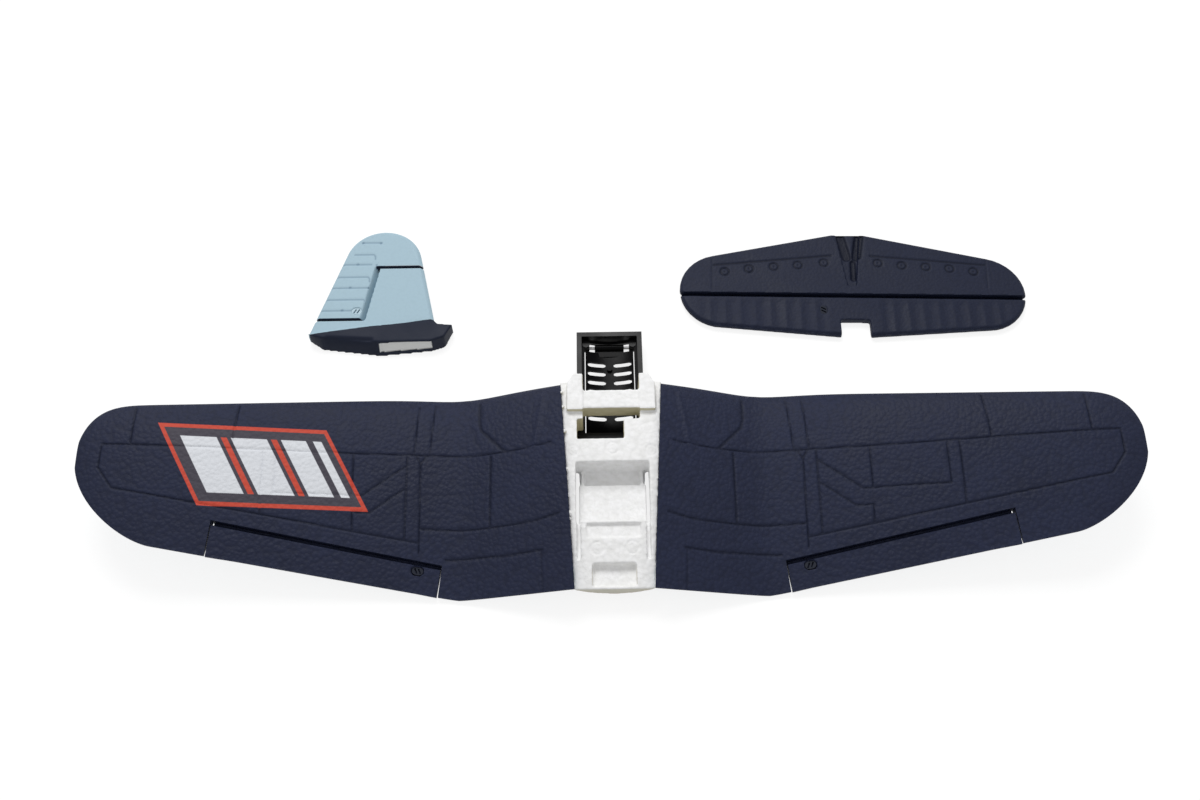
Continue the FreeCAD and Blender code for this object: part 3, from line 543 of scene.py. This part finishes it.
def aileron_shape():
    """Right aileron with its bevelled front, thin trailing edge and the seat of its horn socket."""
    columns = steps(AILERON_INNER_X, AILERON_OUTER_X, 0.5) + [AILERON_OUTER_X]
    rows = [("up", i / 22) for i in range(23)] + [("down", 1 - i / 8) for i in range(9)] + [("up", 0.0)]
    bm, table = numbered_grid(len(columns), len(rows))
    socket_y = hinge_y(SOCKET_X) - SOCKET_BACK
    for (column, row), vert in table.items():
        x = columns[column]
        side, share = rows[row]
        start = hinge_y(x) - HINGE_GAP
        if side == "up":
            start -= BEVEL * (skin(x, start - 1.5, True) - skin(x, start, False) - 0.45)
        y = start + (rear_edge(x) - start) * share
        slant = END_SLANT * max(0.0, hinge_y(x) - y)
        for end in (AILERON_INNER_X, AILERON_OUTER_X):
            x += slant * max(0.0, 1 - abs(columns[column] - end) / 9.0)
        z = skin(x, max(y, rear_edge(x)), side == "up")
        if side == "up":
            near = math.hypot(max(0.0, abs(x - SOCKET_X) - 0.6), y - socket_y)
            z -= 1.5 if near < 1.65 else 0.0
            z -= 0.12 * noise.noise(Vector((x * 0.5, y * 0.9, 3.0))) + 0.06 * noise.noise(Vector((x, y * 2, 7.0)))
        vert.co = put(x, y, z)
    bmesh.ops.remove_doubles(bm, verts=bm.verts, dist=1e-7)
    close_ends(bm)
    return bm


def crease_shape():
    """Thin web of foam under the aileron's groove, along the whole hinge."""
    columns = steps(AILERON_INNER_X + 0.05, AILERON_OUTER_X - 0.05, 2.0) + [AILERON_OUTER_X - 0.05]
    rows = [(0.9, 0.75), (0.3, 0.62), (-0.3, 0.62), (-0.9, 0.75), (-0.9, 0.12), (-0.3, 0.08), (0.3, 0.08),
            (0.9, 0.12), (0.9, 0.75)]
    bm, table = numbered_grid(len(columns), len(rows))
    for (column, row), vert in table.items():
        x = columns[column]
        ahead, rise = rows[row]
        y = hinge_y(x)
        vert.co = put(x, y + ahead, skin(x, y, False) + rise)
    bmesh.ops.remove_doubles(bm, verts=bm.verts, dist=1e-7)
    close_ends(bm)
    return bm


def mirror_copy(bm):
    """The same shape on the left side."""
    copy = bm.copy()
    bmesh.ops.scale(copy, vec=(-1, 1, 1), verts=copy.verts)
    bmesh.ops.reverse_faces(copy, faces=copy.faces)
    return copy


def make_wing():
    """Both panels, their ailerons and the creases between them."""
    panel = wing_panel_shape()
    aileron = aileron_shape()
    crease = crease_shape()
    for side, sign, made in (("left", -1, mirror_copy), ("right", 1, lambda bm: bm)):
        shapes = [made(shape) for shape in (panel, aileron, crease)] if sign < 0 else [panel, aileron, crease]
        finish_piece(side + "_panel_foam", shapes[0], "wing", WING_PAINT, [side + "_wing_panel"])
        finish_piece(side + "_aileron_foam", shapes[1], side + "_aileron", WING_PAINT,
                     [side + "_aileron"], 50)
        crease_piece = finish_piece(side + "_aileron_crease", shapes[2], None, WING_PAINT,
                                    [side + "_aileron_hinge_film"])
        middle = (AILERON_INNER_X + AILERON_OUTER_X) / 2
        low = skin(middle, hinge_y(middle), False) + 0.4
        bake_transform(crease_piece, "wing", side + "_aileron",
                 start=put(sign * middle, hinge_y(middle) + 0.5, low),
                 end=put(sign * middle, hinge_y(middle) - 0.5, low))


def soft_copy(node, size, change=None, lumps=()):
    """A finely remeshed copy of a CAD node, with foam rounded edges and carved details."""
    bm = bmesh.new()
    bm.from_mesh(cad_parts[node].data)
    bmesh.ops.remove_doubles(bm, verts=bm.verts, dist=1e-6)
    for x, y, z, radius in lumps:
        place = Matrix.Translation(put(x, y, z))
        bmesh.ops.create_icosphere(bm, subdivisions=2, radius=radius * MM, matrix=place)
    mesh = bpy.data.meshes.new(node + "_start")
    bm.to_mesh(mesh)
    bm.free()
    start = bpy.data.objects.new(node + "_start", mesh)
    bpy.context.scene.collection.objects.link(start)
    remesh = start.modifiers.new("remesh", "REMESH")
    remesh.mode = "VOXEL"
    remesh.voxel_size = size * MM
    bpy.context.view_layer.update()
    graph = bpy.context.evaluated_depsgraph_get()
    fine = bpy.data.meshes.new_from_object(start.evaluated_get(graph))
    bpy.data.objects.remove(start)
    bm = bmesh.new()
    bm.from_mesh(fine)
    groove = bm.verts.layers.float.new("groove")
    bmesh.ops.smooth_vert(bm, verts=bm.verts, factor=0.5, use_axis_x=True, use_axis_y=True, use_axis_z=True)
    if change:
        bm.normal_update()
        moves = [(vert, change(vert.co.x / MM, vert.co.y / MM + MIDDLE_Y, vert.co.z / MM, vert.normal))
                 for vert in bm.verts]
        for vert, move in moves:
            if move:
                vert.co += Vector(move[:3]) * MM
                # A carve's fourth value, or else its depth, sets the painted shade in grooves and gaps.
                vert[groove] = move[3] if len(move) > 3 else max(0.0, -move[2])
    low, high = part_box(node)
    for vert in bm.verts:
        vert.co = Vector([min(high[k], max(low[k], vert.co[k])) for k in range(3)])
    return bm


def tail_place(x, y):
    """A plan position of the set in the tailplane's own frame."""
    x, y = x - TAIL_CENTRE[0], y - TAIL_CENTRE[1]
    cos, sin = math.cos(-TAIL_TURN), math.sin(-TAIL_TURN)
    return x * cos - y * sin, x * sin + y * cos


TAIL_RINGS = [(50.3, 96.8), (60.8, 98.1), (71.6, 99.0), (82.0, 99.6), (93.3, 100.6),
              (116.5, 100.0), (126.6, 98.6), (136.8, 97.7), (146.8, 96.6), (156.8, 94.9)]
TAIL_RUNS = runs_of([([(45.9, 100.2), (96.7, 104.2)], 0.5, 0.34), ([(113.5, 103.7), (162.3, 98.1)], 0.5, 0.34),
                     ([(45.3, 103.0), (44.4, 88.6)], 0.45, 0.16), ([(163.0, 101.0), (161.6, 86.5)], 0.45, 0.16)])
SEAT_SLOTS = runs_of([([(101.9, 114.6), (103.5, 103.9)], 1.35, 2.4), ([(110.0, 114.6), (107.7, 103.9)], 1.35, 2.4),
                      ([(105.9, 101.2), (105.3, 92.8)], 0.9, 1.6)])


def carve_tailplane(x, y, z, way):
    """Engraved lines and ring marks of the tailplane."""
    if way.z < 0.7:
        return None
    depth = max(engraved(x, y, TAIL_RUNS), min(0.9, engraved(x, y, SEAT_SLOTS)))
    for cx, cy in TAIL_RINGS:
        away = math.hypot(x - cx, y - cy)
        if away < 3.6:
            depth += 0.40 * math.exp(-((away - 1.8) / 0.42) ** 2) + 0.3 * math.exp(-(away / 0.5) ** 2)
    return 0, 0, -depth


def carve_elevator(x, y, z, way):
    """Scalloped cloth ribs of the elevator."""
    if way.z < 0.6:
        return None
    u, v = tail_place(x, y)
    depth = 0.0
    if 10 < abs(u) < 66:
        fade = min(1.0, (abs(u) - 10) / 3) * min(1.0, (66 - abs(u)) / 4) * min(1.0, max(0.0, (-3.2 - v) / 3))
        depth = 0.34 * fade * (0.5 - 0.5 * math.cos(2 * math.pi * (abs(u) - 10) / 6.35)) ** 0.6
    return 0, 0, -depth, 0.0


RUDDER_RIBS = [(-105.6, -97.6, 113.1), (-108.6, -99.5, 106.9), (-113.3, -101.0, 101.8), (-115.3, -101.2, 95.4),
               (-117.4, -100.8, 89.9), (-118.9, -102.2, 84.0), (-120.5, -103.3, 78.6)]
RUDDER_RUNS = []
for number, (rear_x, hinge_x, rib_y) in enumerate(RUDDER_RIBS):
    curl = [(hinge_x - 0.2, rib_y - 0.9), (hinge_x - 0.1, rib_y - 2.4)] if number % 2 else []
    end_x = hinge_x - 0.9 if number % 2 else hinge_x
    RUDDER_RUNS += runs_of([([(rear_x, rib_y), (end_x, rib_y)] + curl, 0.42, 0.22)])
RUDDER_PITS = [(-105.6, 113.1), (-97.8, 112.8), (-113.3, 102.0), (-106.9, 102.0), (-98.9, 101.6),
               (-117.2, 90.3), (-109.3, 90.2), (-101.4, 89.8), (-111.7, 78.8)]


def carve_rudder(x, y, z, way):
    """Rib lines of the rudder with painted shade in them, and painted shade in dark blue on the faces beside its gaps.
    """
    # Painted shade: the faces beside the rudder's gaps get a groove value of 2, which paints them dark blue as the
    # shade in the gaps.
    if x > -99 and 100.2 < y < 101.2 and way.y < -0.4:
        return 0, -0.62 if z < 1.6 else 0.0, 0, 2.0
    if y < 75.1 and way.y < -0.4 and x < -101:
        return 0, 0, 0, 2.0
    if way.z < 0.7:
        return None
    depth = engraved(x, y, RUDDER_RUNS)
    for px, py in RUDDER_PITS:
        depth += 0.35 * math.exp(-(((x - px) ** 2 + (y - py) ** 2) / 0.16))
    # The rib depth also sets the painted shade in the rib lines.
    return 0, 0, -depth, 1.4 * depth


BLOCK_RINGS = [(-14.9, 6.2, 2.1), (0.2, 7.0, 2.3), (14.9, 5.8, 2.1),
               (-6.2, -31.7, 2.3), (6.8, -31.5, 2.3), (0.6, -40.4, 1.7)]


def carve_block(x, y, z, way):
    """Ejector marks and the uneven skin of the white block."""
    push = 0.10 * noise.noise(Vector((x * 0.45, y * 0.45, z * 0.45)))
    depth = 0.0
    if way.z > 0.7:
        for cx, cy, radius in BLOCK_RINGS:
            away = math.hypot(x - cx, y - cy)
            if away < radius + 1.5:
                depth += 0.26 * math.exp(-((away - radius) / 0.4) ** 2)
                depth += 0.12 * math.exp(-((away - 0.45 * radius) / 0.4) ** 2)
    return way.x * push, way.y * push, way.z * push - depth


BLOCK_CRUMBS = [(-18.9, 24.4, 18.9, 0.8), (-18.2, 13.8, 19.2, 0.9), (-17.4, -1.8, 18.4, 0.8), (-16.5, -18.8, 16.4, 1.1),
                (-16.4, -21.0, 16.0, 0.7), (-19.2, 31.0, 18.6, 0.7)]


FAIRING_SLOT = runs_of([([(-116.5, 64.6), (-98.5, 63.4)], 0.8, 0.9)])


def carve_fin(x, y, z, way):
    """Slot and shallow glue recess in the fairing's open side."""
    depth = 0.0
    if z > 3.0 and y < 67:
        depth = engraved(x, y, FAIRING_SLOT)
    if -94.6 < x < -73.4 and way.y < -0.3 and 1.9 < z < 5.7:
        return 0, 0.5, 0
    return 0, 0, -depth


def plate_crease(name, start, end, low, across, body, material, replaced):
    """Thin web that joins a tail surface to what it turns on, along the whole hinge."""
    count = 40
    rows = [(0.8, 0.55), (-0.8, 0.55), (-0.8, 0.1), (0.8, 0.1), (0.8, 0.55)]
    bm, table = numbered_grid(count, len(rows))
    for (column, row), vert in table.items():
        share = column / (count - 1)
        off, rise = rows[row]
        vert.co = put(start[0] + (end[0] - start[0]) * share + across[0] * off,
                      start[1] + (end[1] - start[1]) * share + across[1] * off, low + rise)
    bmesh.ops.remove_doubles(bm, verts=bm.verts, dist=1e-7)
    close_ends(bm)
    piece = finish_piece(name, bm, None, material, replaced)
    middle = ((start[0] + end[0]) / 2, (start[1] + end[1]) / 2)
    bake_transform(piece, "wing", body, start=put(middle[0] + across[0] * 0.5, middle[1] + across[1] * 0.5, low + 0.4),
             end=put(middle[0] - across[0] * 0.5, middle[1] - across[1] * 0.5, low + 0.4))


def make_tail_creases():
    """Creases of the elevator and the rudder."""
    cos, sin = math.cos(TAIL_TURN), math.sin(TAIL_TURN)
    ends = [(TAIL_CENTRE[0] + u * cos - ELEVATOR_HINGE_Y * sin, TAIL_CENTRE[1] + u * sin + ELEVATOR_HINGE_Y * cos)
            for u in (-72.6, 72.6)]
    plate_crease("elevator_crease", ends[0], ends[1], 0.1, (-sin, cos), "elevator", TAIL_PAINT,
                 ["elevator_hinge_film"])
    foot, top = (-102.0 + 4.6 * 0.15 / 26.0, 74.75), (-97.4 - 4.6 * 0.85 / 26.0, 99.75)
    length = math.hypot(top[0] - foot[0], top[1] - foot[1])
    across = ((top[1] - foot[1]) / length, -(top[0] - foot[0]) / length)
    plate_crease("rudder_crease", foot, top, 1.2, across, "rudder", FIN_PAINT, ["rudder_hinge_film"])


def make_foam_parts():
    """White centre block, tailplane, elevator, fin and rudder."""
    finish_piece("centre_block_foam", soft_copy("wing_centre_block", 0.42, carve_block, BLOCK_CRUMBS), "wing",
                 BARE_FOAM, ["wing_centre_block"], 50)
    finish_piece("tailplane_foam", soft_copy("tailplane", 0.36, carve_tailplane), "wing", TAIL_PAINT,
                 ["tailplane"], 50)
    finish_piece("elevator_foam", soft_copy("elevator", 0.5, carve_elevator), "elevator", TAIL_PAINT,
                 ["elevator"], 50)
    finish_piece("fin_foam", soft_copy("fin", 0.45, carve_fin), "wing", FIN_PAINT, ["fin"], 50)
    finish_piece("rudder_foam", soft_copy("rudder", 0.45, carve_rudder), "rudder", FIN_PAINT,
                 ["rudder"], 50)


NODE_FINISHES = {
    "rudder_horn_socket": PALE_SOCKET, "elevator_horn_socket": DARK_SOCKET, "left_aileron_horn_socket": DARK_SOCKET,
    "right_aileron_horn_socket": DARK_SOCKET, "left_aileron_hinge_film": TAIL_PAINT,
    "right_aileron_hinge_film": TAIL_PAINT, "elevator_hinge_film": TAIL_PAINT, "rudder_hinge_film": TAIL_PAINT,
    "door_hinge_pin": STEEL, "wing_joiner": ROD_PLASTIC, "battery_bay_frame": BLACK_PLASTIC,
    "battery_door": DOOR_PLASTIC, "fin": FIN_PAINT, "rudder": FIN_PAINT, "wing_centre_block": BARE_FOAM,
    "tailplane": TAIL_PAINT, "elevator": TAIL_PAINT,
}


def dress_nodes():
    """Give every CAD node its finish; the rest of the wing has the wing's paint."""
    for name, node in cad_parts.items():
        node.data.materials.clear()
        node.data.materials.append(NODE_FINISHES.get(name, WING_PAINT))


# Camera, floor and light

CAMERA_PLACE = (-6.589, -185.823, 419.494)
CAMERA_TURN = (62.0, -0.622, 0.322)
LENS_MM = 35.0
FLOOR_HALF = 3.0
FLOOR_DROP = 0.0001
FLOOR_GLOW = 0.82
ROOM_LIGHT = 0.56
LAMP_POWER = 9.6


def aim_camera():
    """Camera at the photograph's viewing angle."""
    pitch, yaw, roll = (math.radians(angle) for angle in CAMERA_TURN)
    turn = Matrix.Rotation(yaw, 3, "Z")
    forward = turn @ Vector((0, math.cos(pitch), -math.sin(pitch)))
    level = turn @ Vector((1, 0, 0))
    upward = turn @ Vector((0, math.sin(pitch), math.cos(pitch)))
    right = level * math.cos(roll) - upward * math.sin(roll)
    up = upward * math.cos(roll) + level * math.sin(roll)
    data = bpy.data.cameras.new("camera")
    data.lens = LENS_MM
    data.sensor_width = 36.0
    data.sensor_fit = "HORIZONTAL"
    data.clip_start = 0.01
    camera = bpy.data.objects.new("camera", data)
    turned = Matrix((right, up, -forward)).transposed().to_4x4()
    camera.matrix_world = Matrix.Translation(put(*CAMERA_PLACE)) @ turned
    bpy.context.scene.collection.objects.link(camera)
    bpy.context.scene.camera = camera


def lay_floor():
    """Plain pale floor that glows for the eye and keeps faint shadows."""
    bm = bmesh.new()
    bmesh.ops.create_grid(bm, x_segments=1, y_segments=1, size=FLOOR_HALF)
    bmesh.ops.translate(bm, vec=(0, 0, -FLOOR_DROP), verts=bm.verts)
    mesh = bpy.data.meshes.new("floor")
    bm.to_mesh(mesh)
    bm.free()
    material = bpy.data.materials.new("pale_floor")
    material.use_nodes = True
    tree = material.node_tree
    tree.nodes.clear()
    path = tree.nodes.new("ShaderNodeLightPath")
    seen = maths(tree, "MAXIMUM", path.outputs["Is Camera Ray"], path.outputs["Is Glossy Ray"])
    seen = maths(tree, "MAXIMUM", seen, path.outputs["Is Transmission Ray"])
    plain = add(tree, "ShaderNodeBsdfDiffuse", None, Color=(0.72, 0.72, 0.72, 1))
    bright = add(tree, "ShaderNodeBsdfDiffuse", None, Color=(0.24, 0.24, 0.24, 1))
    glow = add(tree, "ShaderNodeEmission", None, Color=(1, 1, 1, 1), Strength=FLOOR_GLOW)
    both = add(tree, "ShaderNodeAddShader", None, i0=bright.outputs[0], i1=glow.outputs[0])
    mix = add(tree, "ShaderNodeMixShader", None, i0=seen, i1=plain.outputs[0], i2=both.outputs[0])
    output = tree.nodes.new("ShaderNodeOutputMaterial")
    tree.links.new(mix.outputs[0], output.inputs["Surface"])
    mesh.materials.append(material)
    floor = bpy.data.objects.new("floor", mesh)
    bpy.context.scene.collection.objects.link(floor)


def soft_lamp(name, place, aim, size, power):
    """Area lamp that looks at a point."""
    data = bpy.data.lights.new(name, "AREA")
    data.shape = "RECTANGLE"
    data.size, data.size_y = size
    data.energy = power
    lamp = bpy.data.objects.new(name, data)
    lamp.location = place
    lamp.rotation_euler = (Vector(aim) - Vector(place)).to_track_quat("-Z", "Y").to_euler()
    bpy.context.scene.collection.objects.link(lamp)


def light_room():
    """Plain soft studio light."""
    world = bpy.data.worlds.new("room")
    world.use_nodes = True
    back = world.node_tree.nodes["Background"]
    back.inputs["Color"].default_value = (1, 1, 1, 1)
    back.inputs["Strength"].default_value = ROOM_LIGHT
    bpy.context.scene.world = world
    soft_lamp("front_lamp", (-0.15, 0.75, 1.05), (0, 0, 0), (0.7, 0.5), LAMP_POWER)
    bpy.context.scene.view_settings.view_transform = "Standard"


aim_camera()
lay_floor()
light_room()
dress_nodes()
make_wing()
make_foam_parts()
make_tail_creases()
